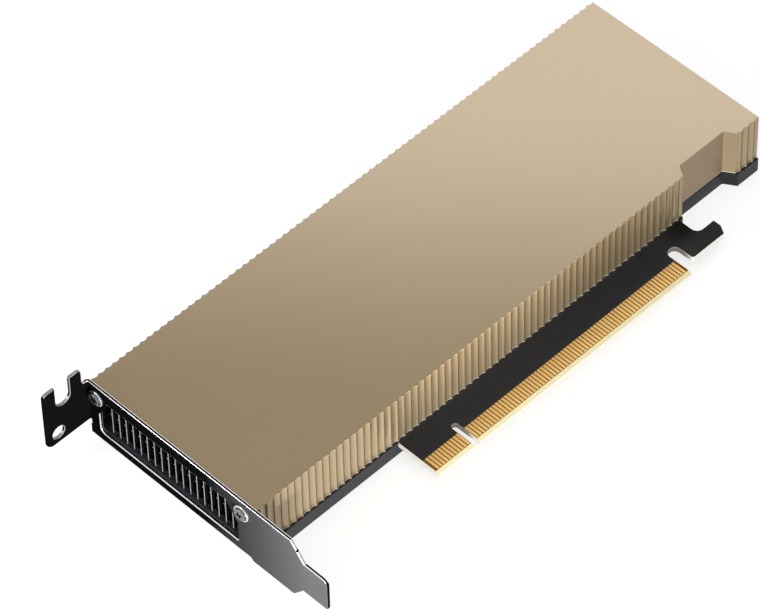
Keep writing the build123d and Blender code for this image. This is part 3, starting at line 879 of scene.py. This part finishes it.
def turnedScrew(name, head, shank, reach):
    # a circle extruded ring by ring, from the tip of the shank to the middle of the head
    s = screwSizes
    rings = [(radius * mm, height * mm) for radius, height in head]
    radius, z = shank * s["tipShare"], -reach
    deselectAll()
    bpy.ops.mesh.primitive_circle_add(
        vertices=s["sides"], radius=radius, fill_type="NGON", location=(0, 0, z),
    )
    screw = bpy.context.object
    screw.name = name
    bpy.ops.object.transform_apply(location=True)
    threadZ = z + s["tipHeight"]
    steps = [(shank, threadZ)]
    while threadZ + s["threadPitch"] < s["threadEndZ"]:
        steps.append((shank - s["threadDepth"], threadZ + s["threadPitch"] / 2))
        steps.append((shank, threadZ + s["threadPitch"]))
        threadZ += s["threadPitch"]
    steps.append((shank, rings[0][1]))
    editAll(screw)
    for nextRadius, nextZ in steps + rings:
        bpy.ops.mesh.extrude_region_move(TRANSFORM_OT_translate={"value": (0, 0, nextZ - z)})
        bpy.ops.transform.resize(value=(nextRadius / radius, nextRadius / radius, 1))
        radius, z = nextRadius, nextZ
    done(screw)
    tidyMesh(screw)
    crossRecess(screw, z)
    return screw


def crossRecess(screw, topZ):
    s = screwSizes
    length, width, depth = s["crossArm"], s["crossWidth"] / 2, s["crossDepth"]
    for turn in (s["crossTurn"], s["crossTurn"] + 90):
        arm = addBox("arm", (-length, -width, topZ - depth), (length, width, topZ + depth))
        arm.rotation_euler.z = math.radians(turn)
        bpy.ops.object.transform_apply(rotation=True)
        cut(screw, arm)


def makeBracketScrews():
    s = screwSizes
    screw = turnedScrew("bracketScrew", s["panHead"], s["bracketShank"], s["bracketReach"])
    dress(screw, finishes["brightScrew"], finishes["screwFace"], finishes["screwRecess"])
    # painted light: the rim stays bright, the dome is painted duller, and the groove round the dome and
    # the cross are painted dark as shade
    topZ = s["panHead"][-1][1] * mm
    crossLow, crossHigh = topZ - s["crossDepth"] - s["faceSpare"], topZ - s["faceSpare"]
    grooveInner, grooveOuter = s["groove"]

    def dome(middle, normal):
        return middle.z > s["frontZ"] and middle.xy.length < s["domeRadius"]

    def groove(middle, normal):
        return middle.z > s["frontZ"] and grooveInner < middle.xy.length < grooveOuter

    def cross(middle, normal):
        return middle.xy.length < s["crossArm"] and crossLow < middle.z < crossHigh

    for index, test in ((1, dome), (2, groove), (2, cross)):
        paintFaces(screw, index, test)
    for number, place in enumerate(s["bracketPlaces"], 1):
        made = copyOf(screw, "bracketScrew" + str(number), place, (0, -math.pi / 2, 0))
        smooth(made, s["smoothDegrees"])
        finishPiece(made, "bright_screw", "bracket_screws")
    bpy.data.objects.remove(screw)


def makeCoverScrews():
    s = screwSizes
    screw = turnedScrew("coverScrew", s["flatHead"], s["coverShank"], s["coverReach"])
    dress(screw, finishes["blackScrew"])
    for number, (x, y) in enumerate(coverSizes["bossPlaces"], 1):
        made = copyOf(screw, "coverScrew" + str(number), (x, y, s["undersideZ"]), (math.pi, 0, 0))
        smooth(made, s["smoothDegrees"])
        finishPiece(made, "black_screw", "cover_screws")
    bpy.data.objects.remove(screw)


print("screws")
makeBracketScrews()
makeCoverScrews()


# Lugs that link each fin to the next one, and the toes of the fins

lugSizes = {
    "count": 18, "frontX": -56.9 * mm, "z": 7.1 * mm,
    "reach": 0.5 * mm, "thick": 0.25 * mm, "depth": 1.2 * mm, "lugSpare": 0.02 * mm,
    "hook": (0, 0.1 * mm, 0.2 * mm), "bevel": 0.04 * mm, "bevelSteps": 2, "sideways": 0.5,
    "toeZ": (0.5 * mm, 2.0 * mm), "toeHalf": 0.145 * mm, "toeSpare": 0.01 * mm,
    "toeCorner": 0.3 * mm, "toeSteps": 3,
}


def alongTheFins(obj):
    repeat(obj, lugSizes["count"], (0, -cardPlaces["finPitch"], 0))
    dress(obj, finishes["finMetal"])
    finishPiece(obj, "fin_metal")


def makeLugs():
    s = lugSizes
    x, y, z = s["frontX"], cardPlaces["farFinY"], s["z"]
    lugs = addBox("finLugs", (x - s["lugSpare"], y, z), (x + s["depth"], y + s["reach"], z + s["thick"]))
    editFaces(lugs, lambda middle, normal: normal.y > s["sideways"])
    bpy.ops.mesh.extrude_region_move(TRANSFORM_OT_translate={"value": s["hook"]})
    done(lugs)
    useModifier(lugs, "BEVEL", width=s["bevel"], segments=s["bevelSteps"])
    alongTheFins(lugs)


def makeToes():
    # the front corner of each fin reaches down beside its foot
    s = lugSizes
    x, y, half = s["frontX"], cardPlaces["farFinY"], s["toeHalf"]
    low, high = s["toeZ"]
    toes = addBox("finToes", (x - s["toeSpare"], y - half, low), (x + s["depth"], y + half, high))
    editEdges(toes, lambda a, b, edge: abs(a.y - b.y) > half and max(a.z, b.z) < high)
    bpy.ops.mesh.bevel(offset=s["toeCorner"], segments=s["toeSteps"])
    done(toes)
    alongTheFins(toes)


print("fin lugs and toes")
makeLugs()
makeToes()


# Floor, light and camera

studio = {
    "floorDrop": 0.05 * mm, "floorSize": 6.0, "floorColour": (0.6, 0.6, 0.6, 1), "floorLift": 0.75,
    "white": (1, 1, 1, 1), "worldLevel": 0.4,
    "cameraPlace": (-0.53974, -0.53520, 0.93888), "cameraTurn": (40.5028, 1.1169, -44.9261),
    "lens": 247.742, "sensor": 36, "clip": (0.01, 20),
    # place, what it is aimed at, width and height, and power
    "lamps": {
        "rearLamp": ((0.3, 0.23, 0.3), (0.06, 0.04, 0), (0.25, 0.25), 0.12),
        "edgeLamp": ((-0.36, 0.2, 0.2), (-0.06, 0.03, 0), (0.12, 0.12), 0.5),
        # low beside the card, so it lights the near wall and passes below the top
        "nearLamp": ((-0.2, -0.31, 0.006), (0.02, 0.02, 0.006), (0.1, 0.014), 2.2),
    },
}


def floorMaterial():
    # the camera and reflections see it a little lighter than the lamps make it, so it is white
    maker = NodeMaker(bpy.data.materials.new("floorFinish"))
    diffuse = maker.node("BsdfDiffuse", inputs={"Color": studio["floorColour"]})
    strength = maker.seenRays() * studio["floorLift"]
    lift = maker.node("Emission", inputs={"Color": studio["white"], "Strength": strength})
    total = maker.node("AddShader", inputs={0: diffuse, 1: lift})
    maker.feed(maker.tree.nodes["Material Output"].inputs["Surface"], total)
    return maker.owner


def makeFloor():
    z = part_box("backplate")[0].z - studio["floorDrop"]
    deselectAll()
    bpy.ops.mesh.primitive_plane_add(size=studio["floorSize"], location=(0, 0, z))
    floor = bpy.context.object
    floor.name = "floor"
    bpy.ops.object.transform_apply(location=True)
    dress(floor, floorMaterial())


def makeWorld():
    # white to the camera and in reflections, and dimmer as a light
    maker = NodeMaker(bpy.data.worlds.new("studioWorld"))
    background = maker.tree.nodes["Background"]
    strength = maker.node("MapRange", inputs={0: maker.seenRays(), 3: studio["worldLevel"], 4: 1.0})
    maker.feed(background.inputs["Strength"], strength)
    maker.feed(background.inputs["Color"], studio["white"])
    bpy.context.scene.world = maker.owner


def addLamp(name, place, aim, size, power):
    deselectAll()
    bpy.ops.object.light_add(type="AREA", location=place)
    lamp = bpy.context.object
    lamp.name = name
    lamp.data.shape = "RECTANGLE"
    lamp.data.size, lamp.data.size_y = size
    lamp.data.energy = power
    lamp.rotation_euler = (Vector(aim) - Vector(place)).to_track_quat("-Z", "Y").to_euler()


def makeCamera():
    camera = bpy.data.objects.new("camera", bpy.data.cameras.new("camera"))
    bpy.context.scene.collection.objects.link(camera)
    camera.location = studio["cameraPlace"]
    camera.rotation_euler = [math.radians(angle) for angle in studio["cameraTurn"]]
    camera.data.lens = studio["lens"]
    camera.data.sensor_width = studio["sensor"]
    camera.data.clip_start, camera.data.clip_end = studio["clip"]
    bpy.context.scene.camera = camera


print("studio")
makeFloor()
makeWorld()
for lampName, lamp in studio["lamps"].items():
    addLamp(lampName, *lamp)
makeCamera()
bpy.context.scene.view_settings.view_transform = "Standard"
